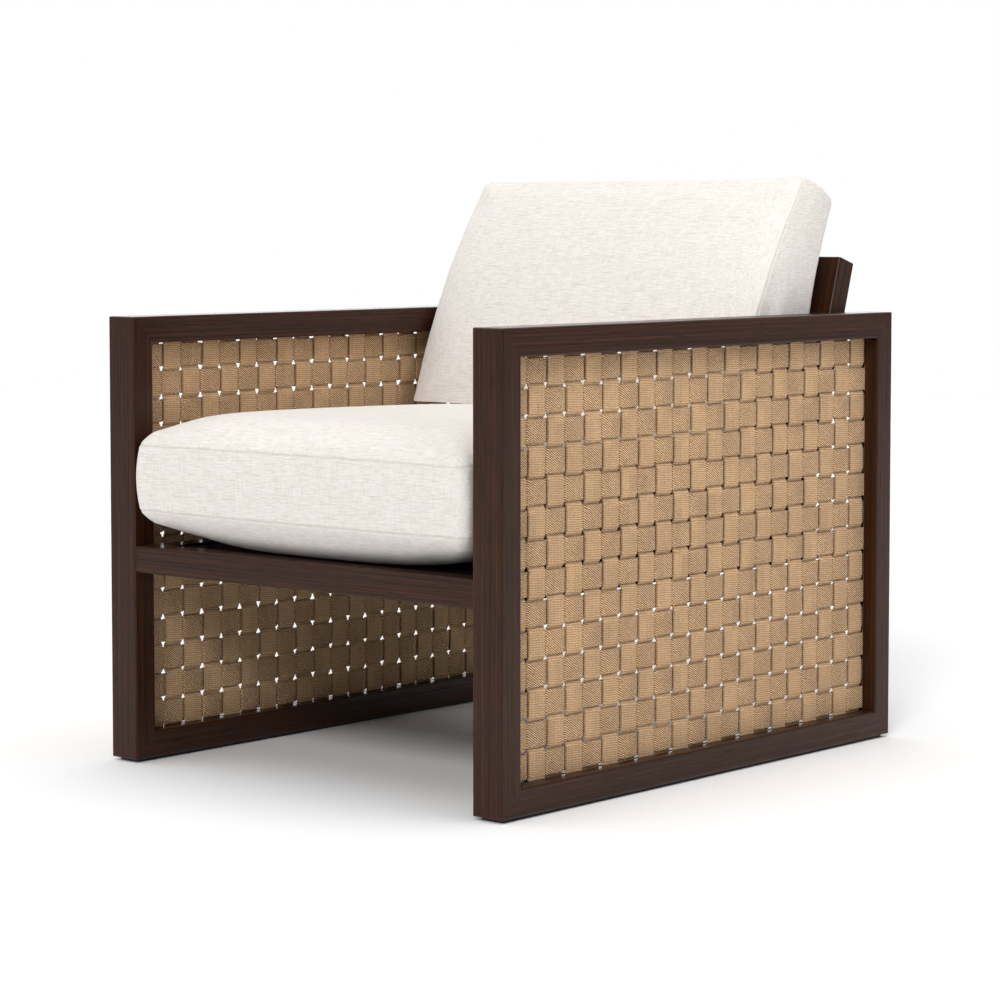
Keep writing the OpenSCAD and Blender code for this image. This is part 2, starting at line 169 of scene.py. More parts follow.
MATH, MIX, NOISE = "ShaderNodeMath", "ShaderNodeMix", "ShaderNodeTexNoise"
RANGE, BUMP = "ShaderNodeMapRange", "ShaderNodeBump"


def add(tree, kind, links=None, stops=(), out=0, **settings):
    """Adds a node with its settings and gives its output, the first unless out says which.

    links gives inputs a socket to follow or a value, and stops are those of a colour ramp.
    """
    node = tree.nodes.new(kind)
    for name, value in settings.items():
        setattr(node, name, value)
    for name, value in (links or {}).items():
        if isinstance(value, bpy.types.NodeSocket):
            tree.links.new(value, node.inputs[name])
        else:
            node.inputs[name].default_value = value
    for i, (place, shade) in enumerate(stops):
        stop = node.color_ramp.elements[i] if i < 2 else node.color_ramp.elements.new(place)
        stop.position = place
        stop.color = shade
    return node.outputs[out]


def blank(name, **sockets):
    """New material, its tree and its shader, with constants set on the shader."""
    made = bpy.data.materials.new(name)
    made.use_nodes = True
    shader = made.node_tree.nodes["Principled BSDF"]
    for socket, value in sockets.items():
        shader.inputs[socket.replace("_", " ")].default_value = value
    return made, made.node_tree, shader


def real_size_pattern(tree, size, detail, turn=0.0, roughness=0.6):
    """Cloudy pattern whose patches have a real size along X, Y and Z, turned about X."""
    place = add(tree, "ShaderNodeTexCoord", out="Object")
    counted = add(
        tree, "ShaderNodeMapping", {"Vector": place, "Rotation": (turn, 0, 0), "Scale": size},
        vector_type="TEXTURE",
    )
    return add(tree, NOISE, {"Vector": counted, "Scale": 1.0, "Detail": detail, "Roughness": roughness})


def stained_ash(name, grain, turn=0.0):
    """Ash, planed with its pores open, stained dark walnut, under satin lacquer.

    The pores and the late wood take more stain, so fine dark lines run with the grain
    over broader, slightly red streaks. The lacquer gives a soft, pale sheen at a low angle.
    """
    look = bpy.context.scene.armchair_frame
    made, tree, shader = blank(
        name, IOR=1.5, Coat_Weight=0.22, Coat_Roughness=0.16, Specular_IOR_Level=0.1
    )

    def streaks(width, run, detail):
        size = [run if axis == grain else width for axis in "XYZ"]
        return real_size_pattern(tree, size, detail, turn)

    broad = streaks(look.streak_width, look.streak_length, 3.0)
    pores = streaks(look.pore_width, look.pore_length, 2.0)
    figure = streaks(look.streak_width * 4, look.streak_length, 1.0)
    wood = add(
        tree, "ShaderNodeValToRGB", {"Fac": broad},
        stops=[(0.3, look.stain_dark), (0.52, look.stain_mid), (0.78, look.stain_light)],
    )
    even = add(tree, MATH, {0: figure, 1: 0.5}, operation="MULTIPLY")
    toned = add(tree, MIX, {0: even, 6: wood, 7: look.stain_mid}, out=2, data_type="RGBA")
    open_pore = add(tree, RANGE, {"Value": pores, "From Min": 0.5, "From Max": 0.36})
    soaked = add(tree, MATH, {0: open_pore, 1: 0.75}, operation="MULTIPLY")
    filled = add(tree, MIX, {0: soaked, 6: toned, 7: look.stain_dark}, out=2, data_type="RGBA")
    tree.links.new(filled, shader.inputs["Base Color"])
    height = add(tree, MATH, {0: broad, 1: open_pore}, operation="SUBTRACT")
    bump = add(tree, BUMP, {"Height": height, "Strength": 0.35, "Distance": 0.2 * MM})
    tree.links.new(bump, shader.inputs["Normal"])
    # The lacquer sinks into the open pores, which shine less
    rough = add(tree, MATH, {0: open_pore, 1: 0.2, 2: 0.36}, operation="MULTIPLY_ADD")
    tree.links.new(rough, shader.inputs["Roughness"])
    return made


def jute_webbing(name, ribs, twill_part, yarn_part):
    """Jute upholstery webbing, twill or rib woven, dry and matt.

    Spun jute yarns give a tan cloth with a few paler and redder yarns and no shine; its
    dark hollows are painted shade. The map's X runs across a strap and its Y along it, both in metres.
    """
    look = bpy.context.scene.armchair_webbing
    made, tree, shader = blank(
        name, Roughness=0.88, IOR=1.45, Specular_IOR_Level=0.2, Sheen_Weight=0.12, Sheen_Roughness=0.6
    )
    across = add(tree, "ShaderNodeSeparateXYZ", {0: add(tree, "ShaderNodeUVMap")})
    along = across.node.outputs["Y"]
    place = add(tree, "ShaderNodeTexCoord", out="Object")
    wobble_run, fibre_clump, tone_run = 3.846 * MM, 1.111 * MM, 29.41 * MM
    jitter = add(tree, NOISE, {"Vector": place, "Scale": 1 / wobble_run, "Detail": 2.0})

    def ridges(way, pitch):
        turns = add(tree, MATH, {0: way, 1: 2 * math.pi / pitch}, operation="MULTIPLY")
        bent = add(tree, MATH, {0: jitter, 1: 5.0, 2: turns}, operation="MULTIPLY_ADD")
        return add(tree, MATH, {0: bent}, operation="SINE")

    # The ribs cross the strap at the slant that their two parts give
    lengthwise = add(tree, MATH, {0: along, 1: ribs[1]}, operation="MULTIPLY")
    slant = add(tree, MATH, {0: across, 1: ribs[0], 2: lengthwise}, operation="MULTIPLY_ADD")
    twill = ridges(slant, look.twill_pitch)
    yarn = ridges(across, look.yarn_pitch)
    yarns = add(tree, MATH, {0: yarn, 1: yarn_part}, operation="MULTIPLY")
    woven = add(tree, MATH, {0: twill, 1: twill_part, 2: yarns}, operation="MULTIPLY_ADD")
    fibre = add(tree, NOISE, {"Vector": place, "Scale": 1 / fibre_clump, "Detail": 3.0})
    height = add(tree, MATH, {0: woven, 1: fibre}, operation="ADD")
    # Painted shade: the colour darkens with the weave's depth, so the hollows of the twill and between
    # the yarns look shaded; the fibre noise adds the yarns' own tone
    lit = add(tree, RANGE, {"Value": height, "From Min": -0.3, "From Max": 1.25})
    cloth = add(tree, MIX, {0: lit, 6: look.jute_dark, 7: look.jute_light}, out=2, data_type="RGBA")
    # Each stretch of strap has a slightly different tone
    counted = add(
        tree, "ShaderNodeMapping", {"Vector": place, "Scale": [look.pitch] * 3}, vector_type="TEXTURE"
    )
    stretch = add(tree, "ShaderNodeVectorMath", {0: counted}, operation="FLOOR")
    patch = add(tree, "ShaderNodeTexWhiteNoise", {"Vector": stretch}, out="Value")
    drift = add(tree, NOISE, {"Vector": place, "Scale": 1 / tone_run})
    slow = add(tree, MATH, {0: drift, 1: 0.3}, operation="MULTIPLY")
    tone = add(tree, MATH, {0: patch, 1: 0.14, 2: slow}, operation="MULTIPLY_ADD")
    bright = add(tree, MATH, {0: tone, 1: 0.8}, operation="ADD")
    shaded = add(tree, "ShaderNodeHueSaturation", {"Color": cloth, "Value": bright})
    # Painted shade: a thin band along both edges of each strap is darkened, for the shade in the
    # crevices where the straps cross
    half = look.width / 2
    off_middle = add(tree, MATH, {0: across, 1: half}, operation="SUBTRACT")
    from_middle = add(tree, MATH, {0: off_middle}, operation="ABSOLUTE")
    selvedge = add(
        tree, RANGE,
        {"Value": from_middle, "From Min": half - 1.6 * MM, "From Max": half - 0.4 * MM, "To Max": 0.25},
    )
    # Colour of the painted shade along the selvedges
    selvedge_crevice_shade = linear("#4a2f1a")
    edged = add(tree, MIX, {0: selvedge, 6: shaded, 7: selvedge_crevice_shade}, out=2, data_type="RGBA")
    tree.links.new(edged, shader.inputs["Base Color"])
    bump = add(tree, BUMP, {"Height": height, "Strength": 0.8, "Distance": 0.6 * MM})
    tree.links.new(bump, shader.inputs["Normal"])
    return made


def slub_linen(name):
    """Linen and viscose upholstery cloth, plain woven from slubby yarn.

    Off-white with thin raw-flax streaks that run across the chair, a soft matt face and
    a faint bloom at a low angle. The weave is drawn at twice its real spacing, so it shows.
    """
    look = bpy.context.scene.armchair_cushions
    made, tree, shader = blank(
        name, Roughness=0.92, IOR=1.45, Specular_IOR_Level=0.15, Sheen_Weight=0.15, Sheen_Roughness=0.5
    )
    normal = add(tree, "ShaderNodeTexCoord", out="Normal")
    sideways = add(tree, "ShaderNodeSeparateXYZ", {0: normal}, out="X")
    either_way = add(tree, MATH, {0: sideways}, operation="ABSOLUTE")
    on_side = add(tree, RANGE, {"Value": either_way, "From Min": 0.6, "From Max": 0.8})

    def threads(size_front, size_side, detail):
        fronts, sides = [real_size_pattern(tree, size, detail) for size in (size_front, size_side)]
        return add(tree, MIX, {0: on_side, 2: fronts, 3: sides})

    thin, run = 1.2 * MM, 18 * MM
    thick, slub_run = 1.6 * MM, 48 * MM
    weft = threads((run, thin, thin), (thin, run, thin), 2.0)
    warp = threads((thin, run, run), (run, thin, run), 2.0)
    slub = threads((slub_run, thick, thick), (thick, slub_run, thick), 1.0)
    weave = add(tree, MATH, {0: warp, 1: 0.6, 2: weft}, operation="MULTIPLY_ADD")
    flax = add(tree, RANGE, {"Value": slub, "From Min": 0.6, "From Max": 0.76})
    fleck = add(tree, RANGE, {"Value": weave, "From Min": 0.95, "From Max": 0.5})
    flecked = add(tree, MATH, {0: fleck, 1: 0.5}, operation="MULTIPLY")
    grey = add(tree, MATH, {0: flax, 1: 0.26, 2: flecked}, operation="MULTIPLY_ADD")
    cloth = add(tree, MIX, {0: grey, 6: look.linen_light, 7: look.linen_grey}, out=2, data_type="RGBA")
    # Less light gets into the seams
    seam = add(tree, "ShaderNodeAttribute", out="Fac", attribute_name="seam")
    shade = add(tree, MATH, {0: seam, 1: 0.22}, operation="MULTIPLY")
    sewn = add(tree, MIX, {0: shade, 6: cloth, 7: linear("#7d7264")}, out=2, data_type="RGBA")
    tree.links.new(sewn, shader.inputs["Base Color"])
    bump = add(tree, BUMP, {"Height": weave, "Strength": 0.4, "Distance": 0.4 * MM})
    tree.links.new(bump, shader.inputs["Normal"])
    return made


def plain_material(name, code, grit, bump, shade=0.6, **sockets):
    """Even material with a grit of a real size, shade times as bright in its hollows."""
    made, tree, shader = blank(name, **sockets)
    grains = real_size_pattern(tree, grit, 2.0, roughness=0.5)
    base = linear(code)
    dark = [shade * part for part in base[:3]] + [1.0]
    gritty = add(tree, MIX, {0: grains, 6: dark, 7: base}, out=2, data_type="RGBA")
    tree.links.new(gritty, shader.inputs["Base Color"])
    relief = add(tree, BUMP, {"Height": grains, "Strength": 0.3, "Distance": bump})
    tree.links.new(relief, shader.inputs["Normal"])
    return made


# ---- shared steps --------------------------------------------------------


def dress(material, *nodes):
    """Gives CAD nodes a material."""
    for name in nodes:
        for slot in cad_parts[name].material_slots:
            slot.material = material


def start_clean():
    """Leaves nothing selected and no mode but object mode."""
    if bpy.context.object and bpy.context.object.mode != "OBJECT":
        bpy.ops.object.mode_set(mode="OBJECT")
    bpy.ops.object.select_all(action="DESELECT")


def pick(piece):
    """Selects one piece and nothing else."""
    start_clean()
    piece.select_set(True)
    bpy.context.view_layer.objects.active = piece


def finish_piece(piece, name, material, body, replaced):
    """Names a piece, puts its place in its mesh and ties it to the frame."""
    piece.name = piece.data.name = name
    pick(piece)
    bpy.ops.object.transform_apply(location=True, rotation=True, scale=True)
    bpy.ops.object.shade_smooth_by_angle(angle=radians(50))
    piece.data.materials.clear()
    piece.data.materials.append(material)
    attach(piece, body)
    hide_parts(*replaced)


def apply_all(piece):
    """Applies every modifier of a piece."""
    pick(piece)
    for modifier in list(piece.modifiers):
        bpy.ops.object.modifier_apply(modifier=modifier.name)


def points(mesh):
    """Vertex places as an array."""
    flat = np.empty(len(mesh.vertices) * 3)
    mesh.vertices.foreach_get("co", flat)
    return flat.reshape(-1, 3)


def move_points(mesh, places):
    """Writes vertex places back."""
    mesh.vertices.foreach_set("co", np.ascontiguousarray(places).ravel())
    mesh.update()


def carried(places, matrix):
    """Places moved by a matrix."""
    flat = np.array(matrix)
    return places @ flat[:3, :3].T + flat[:3, 3]


# ---- webbing -------------------------------------------------------------


def strap_set(span, run, counts, first, seed):
    """Parallel straps over a panel: span across them, run along them, both from 0.

    counts are the straps and the straps they cross. first is 1 where the first strap
    passes outside the first crossing one and -1 where it passes inside.
    """
    look = bpy.context.scene.armchair_webbing
    # Where the rows of one crossing lie along it, and the part of the lift each has. Webbing is
    # stiff: it stays flat over a crossing and turns down steeply beside it.
    row_places = (0, 0.045, 0.11, 0.5, 0.89, 0.955, 1)
    row_lifts = (0, 0.75, 1, 1, 1, 0.75, 0)
    rows_per_crossing = len(row_places) - 1
    spacing, crossing = span / counts[0], run / counts[1]
    start_clean()
    bpy.ops.mesh.primitive_grid_add(
        x_subdivisions=2, y_subdivisions=counts[1] * rows_per_crossing, size=1,
        location=(spacing / 2, run / 2, 0),
    )
    straps = bpy.context.object
    bpy.ops.object.mode_set(mode="EDIT")
    bpy.ops.mesh.select_all(action="SELECT")
    bpy.ops.transform.resize(value=(look.width, run, 1), center_override=straps.location)
    bpy.ops.object.mode_set(mode="OBJECT")
    bpy.ops.object.transform_apply(location=True, rotation=False, scale=False)
    array = straps.modifiers.new("rows", "ARRAY")
    array.count = counts[0]
    array.use_relative_offset = False
    array.use_constant_offset = True
    array.constant_offset_displace = (spacing, 0, 0)
    apply_all(straps)

    place = points(straps.data)
    strap = np.clip((place[:, 0] // spacing).astype(int), 0, counts[0] - 1)
    row = place[:, 1] / crossing
    cross = np.clip(row.astype(int), 0, counts[1] - 1)
    over = np.where((strap + cross) % 2 == 0, 1, -1) * first
    between = np.abs(row - np.round(row)) < 0.01
    ends = between & ((row < 0.5) | (row > counts[1] - 0.5))
    rows = np.arange(rows_per_crossing + 1) / rows_per_crossing
    part = row - cross
    place[:, 1] = (cross + np.interp(part, rows, row_places)) * crossing
    rise = np.where(ends, 1.0, np.interp(part, rows, row_lifts))
    height = over * look.lift * rise
    edge = np.abs(place[:, 0] - (strap + 0.5) * spacing) > look.width / 4
    height = height - np.where(edge & ~between, over * look.crown, 0.0)
    # A strap strays a little, and each crossing nudges it its own way
    chance = np.random.default_rng(seed)
    stray = chance.normal(0, 0.5, (counts[0], 1)) + chance.normal(0, 0.6, (counts[0], counts[1]))
    squeeze = chance.normal(0, 0.35, (counts[0], counts[1]))
    side = np.sign(place[:, 0] - (strap + 0.5) * spacing) * edge
    sideways = look.wander * (stray[strap, cross] + side * squeeze[strap, cross])
    sideways[ends] *= 0.3
    place[:, 0] += sideways
    place[:, 1] += np.where(row < 0.01, -look.tail, 0) + np.where(row > counts[1] - 0.01, look.tail, 0)
    place[:, 2] = height
    move_points(straps.data, place)
    # The map counts metres across and along a strap, so that one cloth fits every strap
    corners = np.empty(len(straps.data.loops), dtype=np.int32)
    straps.data.loops.foreach_get("vertex_index", corners)
    cloth_map = straps.data.uv_layers.active.data
    uv = np.empty(len(corners) * 2)
    cloth_map.foreach_get("uv", uv)
    across = uv.reshape(-1, 2)[:, 0] * look.width
    cloth_map.foreach_set("uv", np.column_stack((across, place[corners, 1])).ravel())
    straps.modifiers.new("soften", "SUBSURF").levels = 1
    body = straps.modifiers.new("cloth", "SOLIDIFY")
    body.thickness = look.thickness
    body.offset = 0
    apply_all(straps)
    return straps


def woven_panel(prefix, size, to_frame, outward, replaced, materials, seed):
    """Upright and level straps over one opening, woven together."""
    look = bpy.context.scene.armchair_webbing
    across, up = [max(1, round(extent / look.pitch)) for extent in size]
    upright = strap_set(size[0], size[1], (across, up), -outward, seed)
    upright.matrix_world = to_frame
    level = strap_set(size[1], size[0], (up, across), outward, seed + 1)
    # Laid on its side: its length runs across the panel
    level.matrix_world = to_frame @ Matrix(((0, 1, 0, 0), (1, 0, 0, 0), (0, 0, 1, 0), (0, 0, 0, 1)))
    for straps, way, material in zip((upright, level), ("upright", "level"), materials):
        finish_piece(
            straps, f"{prefix}_{way}_webbing", material, "frame",
            [f"{replaced}_{way}_straps"],
        )
        pick(straps)
        bpy.ops.object.mode_set(mode="EDIT")
        bpy.ops.mesh.select_all(action="SELECT")
        bpy.ops.mesh.normals_make_consistent(inside=False)
        bpy.ops.object.mode_set(mode="OBJECT")


def raked_axes():
    """Axes of the back frame: from the front of the post feet, Z up the posts."""
    post = points(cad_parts["left_back_post"].data)
    foot = post[np.isclose(post[:, 2], post[:, 2].min(), atol=MM)]
    start = Vector((0, foot[:, 1].min(), foot[:, 2].min()))
    # The lean is that of the furthest forward point near the top
    high = post[post[:, 2] > start.z + 0.7 * (post[:, 2].max() - start.z)]
    lean = float(np.min(np.arctan2(high[:, 1] - start.y, high[:, 2] - start.z)))
    return Matrix.Translation(start) @ Matrix.Rotation(-lean, 4, "X")


class ARMCHAIR_OT_weave_sides(bpy.types.Operator):
    """Weave the webbing of both side frames"""

    bl_idname = "armchair.weave_sides"
    bl_label = "Weave sides"

    def execute(self, context):
        # Upright straps are faintly ribbed straight across, level ones are a bold slanting twill
        materials = [
            jute_webbing("jute_webbing_upright", (0.05, 1), 0.28, 0.22),
            jute_webbing("jute_webbing_level", (1, 0.65), 0.95, 0.06),
        ]
        for number, (side, sign) in enumerate(SIDES):
            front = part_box(f"{side}_front_stile")[1][1]
            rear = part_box(f"{side}_rear_stile")[0][1]
            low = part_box(f"{side}_floor_rail")[1][2]
            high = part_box(f"{side}_arm_rail")[0][2]
            middle = sum(corner[0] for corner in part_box(f"{side}_arm_rail")) / 2
            # Panel X runs along the frame's Y, panel Y up, panel Z along X
            to_frame = Matrix(((0, 0, 1, middle), (1, 0, 0, front), (0, 1, 0, low), (0, 0, 0, 1)))
            opening = (rear - front, high - low)
            woven_panel(side, opening, to_frame, sign, side, materials, 11 + 10 * number)
        return {"FINISHED"}


class ARMCHAIR_OT_weave_back(bpy.types.Operator):
    """Weave the webbing of the back frame"""

    bl_idname = "armchair.weave_back"
    bl_label = "Weave back"

    def execute(self, context):
        materials = [bpy.data.materials[name] for name in ("jute_webbing_upright", "jute_webbing_level")]
        raked = raked_axes()
        foot_rail, rail = [
            carried(points(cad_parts[name].data), raked.inverted())
            for name in ("back_bottom_rail", "back_top_rail")
        ]
        low, high = foot_rail[:, 2].max(), rail[:, 2].min()
        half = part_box("left_back_post")[0][0]
        middle = (rail[:, 1].min() + rail[:, 1].max()) / 2
        # Panel X runs across the chair, panel Y up the posts, panel Z to the front
        panel = Matrix(((1, 0, 0, -half), (0, 0, -1, middle), (0, 1, 0, low), (0, 0, 0, 1)))
        woven_panel("back", (2 * half, high - low), raked @ panel, 1, "back", materials, 41)
        return {"FINISHED"}


# ---- cushions ------------------------------------------------------------


def rounded(place, half, radius):
    """Moves the corners of a rectangle of points onto a radius."""
    size = np.abs(place)
    start = np.array(half) - radius
    part = np.clip((size - start) / radius, 0, 1)
    arc = part * np.sqrt(1 - part[:, ::-1] ** 2 / 2)
    corner = (part > 0).all(axis=1)
    size[corner] = (start + arc * radius)[corner]
    return np.sign(place) * size


# Rows run from -1 to 1 through a cushion, with its seams on these
SEAM_ROW = 0.8


def boxed_form(segments, half, rim):
    """Closed box of even rows, as plan places and the row from -1 to 1 through its thickness."""
    look = bpy.context.scene.armchair_cushions
    start_clean()
    bpy.ops.mesh.primitive_cube_add(size=2)
    piece = bpy.context.object
    bpy.ops.object.mode_set(mode="EDIT")
    bpy.ops.mesh.select_all(action="SELECT")
    bpy.ops.mesh.subdivide(number_cuts=segments - 1)
    bpy.ops.object.mode_set(mode="OBJECT")
    unit = points(piece.data)
    # Rows crowd towards the edges, where the cover turns
    spread = unit[:, :2] * (1.35 - 0.35 * unit[:, :2] ** 2)
    row = unit[:, 2]
    plan = rounded(spread * half, half, look.corner)
    inner = np.clip((np.abs(row) - SEAM_ROW) / (1 - SEAM_ROW), 0, 1)
    band = np.clip(np.abs(row) / SEAM_ROW, 0, 1)
    # Each rim curves in over the panel by 0.8 of its height in all
    pulled = look.pull * band**2 + rim * (0.3 * inner + 0.5 * inner**2)
    plan = plan * (1 - pulled[:, None] / np.array(half))
    return piece, plan, row


def rows_to_depth(row, low, high, rim):
    """Depth through a cushion of each row: the seams sit at low and high, the rims beyond."""
    inner = np.clip((np.abs(row) - SEAM_ROW) / (1 - SEAM_ROW), 0, 1)
    band = np.clip(row, -SEAM_ROW, SEAM_ROW) / SEAM_ROW
    return (low + high) / 2 + band * (high - low) / 2 + np.sign(row) * inner * rim


def dome(plan, half, reach):
    """0 at the rim of a panel and near 1 over its middle."""
    gap = np.clip(np.array(half) - np.abs(plan), 0, None)
    return np.prod(1 - np.exp(-gap / np.array(reach)), axis=1)


def inflate(piece, furthest):
    """Fills a cover: cloth under pressure, each point held within a distance of its start."""
    frames = 20
    before = points(piece.data)
    cloth = piece.modifiers.new("filling", "CLOTH")
    cloth.settings.quality = 6
    cloth.settings.use_pressure = True
    cloth.settings.uniform_pressure_force = 4
    cloth.settings.effector_weights.gravity = 0
    cloth.collision_settings.use_collision = False
    scene = bpy.context.scene
    for number in range(1, frames + 1):
        scene.frame_set(number)
    posed = piece.evaluated_get(bpy.context.evaluated_depsgraph_get())
    moved = points(posed.data) - before
    piece.modifiers.remove(cloth)
    scene.frame_set(1)
    far = np.linalg.norm(moved, axis=1)
    far[~np.isfinite(far)] = np.inf
    moved *= (np.tanh(far / furthest) * furthest / np.maximum(far, 1e-9))[:, None]
    move_points(piece.data, before + np.nan_to_num(moved))
    ease = piece.modifiers.new("ease", "SMOOTH")
    ease.factor = 0.5
    ease.iterations = 10
    apply_all(piece)


def sew(piece, plan, row, rim, seed):
    """Draws the seams in, raises the sewn edges and puckers the cloth beside them."""
    normal = np.empty(len(piece.data.vertices) * 3)
    piece.data.vertex_normals.foreach_get("vector", normal)
    away = np.abs(np.abs(row) - SEAM_ROW) * rim / (1 - SEAM_ROW)
    chance = np.random.default_rng(seed)
    run = plan[:, 0] - plan[:, 1]
    pucker = sum(
        np.sin(run * 2 * math.pi / pitch + chance.uniform(0, 6)) for pitch in (0.011, 0.017, 0.029)
    )
    groove, groove_reach = 1.1 * MM, 1.5 * MM
    ridge, ridge_place, ridge_reach = 0.6 * MM, 3.5 * MM, 2.0 * MM
    crease, crease_reach = 0.16 * MM, 7 * MM
    out = (
        -groove * np.exp(-((away / groove_reach) ** 2))
        + ridge * np.exp(-(((away - ridge_place) / ridge_reach) ** 2))
        + crease * pucker * np.exp(-away / crease_reach)
    )
    move_points(piece.data, points(piece.data) + normal.reshape(-1, 3) * out[:, None])
    mark = piece.data.attributes.new("seam", "FLOAT", "POINT")
    mark.data.foreach_set("value", np.exp(-((away / (1.3 * MM)) ** 2)).astype(np.float32))


def cover_done(piece, name, body, material):
    """Softens a cushion's cover and ties it to the frame."""
    piece.modifiers.new("soften", "SUBSURF").levels = 1
    apply_all(piece)
    finish_piece(piece, name, material, body, [body])


class ARMCHAIR_OT_sew_seat_cushion(bpy.types.Operator):
    """Sew and fill the seat cushion"""

    bl_idname = "armchair.sew_seat_cushion"
    bl_label = "Sew seat cushion"

    def execute(self, context):
        look = context.scene.armchair_cushions
        low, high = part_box("seat_cushion")
        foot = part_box("back_cushion")[0]
        bulge = look.seat_bulge
        half = (high[0], (high[1] - low[1] + bulge) / 2)
        middle = (high[1] + low[1] - bulge) / 2
        piece, plan, row = boxed_form(60, half, look.seat_rim)
        depth = rows_to_depth(row, low[2] + look.band_low, low[2] + look.band_high, look.seat_rim)
        inner = [extent - look.pull - 0.8 * look.seat_rim for extent in half]
        top, bottom = row > 0.999, row < -0.999
        crown_reach, belly_reach = (46 * MM, 46 * MM), (80 * MM, 24 * MM)
        # The back cushion's weight has pushed the filling forward
        pushed = 0.5
        fuller = 1 - pushed * plan[:, 1] / half[1]
        depth = depth + np.where(top, look.seat_crown * fuller * dome(plan, inner, crown_reach), 0)
        depth = depth - np.where(bottom, look.seat_belly * dome(plan, inner, belly_reach), 0)
        place = np.column_stack((plan[:, 0], plan[:, 1] + middle, depth))
        move_points(piece.data, place)
        inflate(piece, look.swell)
        sew(piece, plan, row, look.seat_rim, 3)
        place = points(piece.data)
        # It lies on the deck between the side frames, and the back cushion rests on it
        clear, free_rise = 0.4 * MM, 5 * MM
        press_ahead, press_run = 30 * MM, 45 * MM
        gone = np.clip((place[:, 1] - (foot[1] - press_ahead)) / press_run, 0, 1)
        pressed = gone * gone * (3 - 2 * gone)
        ceiling = high[2] - clear + free_rise - (look.sunk + free_rise) * pressed
        # The top bends over under this ceiling within a soft depth, with no crease
        soft = 16 * MM
        over = np.clip(place[:, 2] - ceiling + soft, 0, None)
        place[:, 2] = np.where(over > 0, ceiling - soft + soft * np.tanh(over / soft), place[:, 2])
        place[:, 2] = np.maximum(place[:, 2], low[2])
        place[:, 0] = np.clip(place[:, 0], low[0], high[0])
        place[:, 1] = np.minimum(place[:, 1], high[1])
        move_points(piece.data, place)
        cover_done(piece, "seat_cushion_cover", "seat_cushion", slub_linen("slub_linen_seat"))
        return {"FINISHED"}


class ARMCHAIR_OT_sew_back_cushion(bpy.types.Operator):
    """Sew and fill the back cushion"""

    bl_idname = "armchair.sew_back_cushion"
    bl_label = "Sew back cushion"

    def execute(self, context):
        look = context.scene.armchair_cushions
        low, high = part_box("back_cushion")
        solid = points(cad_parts["back_cushion"].data)
        foot_z = low[2] - look.sunk
        at_top = solid[solid[:, 2].argmax()]
        rear = solid[solid[:, 1].argmax()]
        foot = solid[solid[:, 2] < low[2] + 0.2 * MM]
        # Corners of its side, moved from the plain wedge's by parts of its rounded edge
        edge = 16 * MM
        front_foot = np.array((foot[:, 1].min() - edge, foot_z))
        front_top = np.array((at_top[1] - 0.5 * edge, high[2]))
        rear_foot = np.array((foot[:, 1].max() + 0.6 * edge, foot_z))
        rear_top = np.array((high[1], rear[2] + 0.6 * edge))
        tall = np.linalg.norm(front_top - front_foot)
        # The cover is a little taller than its side: its foot is pressed flat on the seat
        over, under = 12 * MM, 22 * MM
        stand_off = 4 * MM
        face_reach, behind_reach = (70 * MM, 60 * MM), (60 * MM, 60 * MM)
        half = (high[0], (tall + over + under) / 2)
        piece, plan, row = boxed_form(50, half, 2 * look.back_rim)
        inner = [extent - look.pull - 1.6 * look.back_rim for extent in half]
        up = ((plan[:, 1] + half[1] - under) / tall)[:, None]
        front = front_foot + (front_top - front_foot) * up
        behind = rear_foot + (rear_top - rear_foot) * up
        # Its plump back rests on the posts, so that its edges stand forward of them
        forward = look.back_stand * up + 4 * look.back_bow * up * (1 - up) + stand_off
        front, behind = [side - forward * (1, 0) for side in (front, behind)]
        thick = np.linalg.norm(front - behind, axis=1)
        face, back = row > 0.999, row < -0.999
        depth = rows_to_depth(row, look.back_rim, thick - look.back_rim / 2, look.back_rim)
        depth = depth + np.where(face, look.back_crown * dome(plan, inner, face_reach), 0)
        depth = depth - np.where(back, look.back_bow * dome(plan, inner, behind_reach), 0)
        profile = behind + (front - behind) * (depth / thick)[:, None]
        place = np.column_stack((plan[:, 0], profile))
        # One top corner is fuller than the other
        ear_rise = 6 * MM
        ear = np.clip(plan[:, 0] / half[0], 0, 1) ** 4 * np.clip(up[:, 0], 0, 1) ** 4
        place[:, 2] += ear_rise * ear
        move_points(piece.data, place)
        inflate(piece, look.swell)
        seam_side = 12 * MM
        sew(piece, plan, row, seam_side, 5)
        # It rests on the seat cushion and against the posts, between the side frames
        rake = raked_axes()
        off_posts = 1 * MM
        leaned = carried(points(piece.data), rake.inverted())
        leaned[:, 1] = np.minimum(leaned[:, 1], -off_posts)
        place = carried(leaned, rake)
        place[:, 2] = np.maximum(place[:, 2], foot_z)
        place[:, 0] = np.clip(place[:, 0], low[0], high[0])
        move_points(piece.data, place)
        cover_done(piece, "back_cushion_cover", "back_cushion", slub_linen("slub_linen_back"))
        return {"FINISHED"}


# ---- frame finishes ------------------------------------------------------


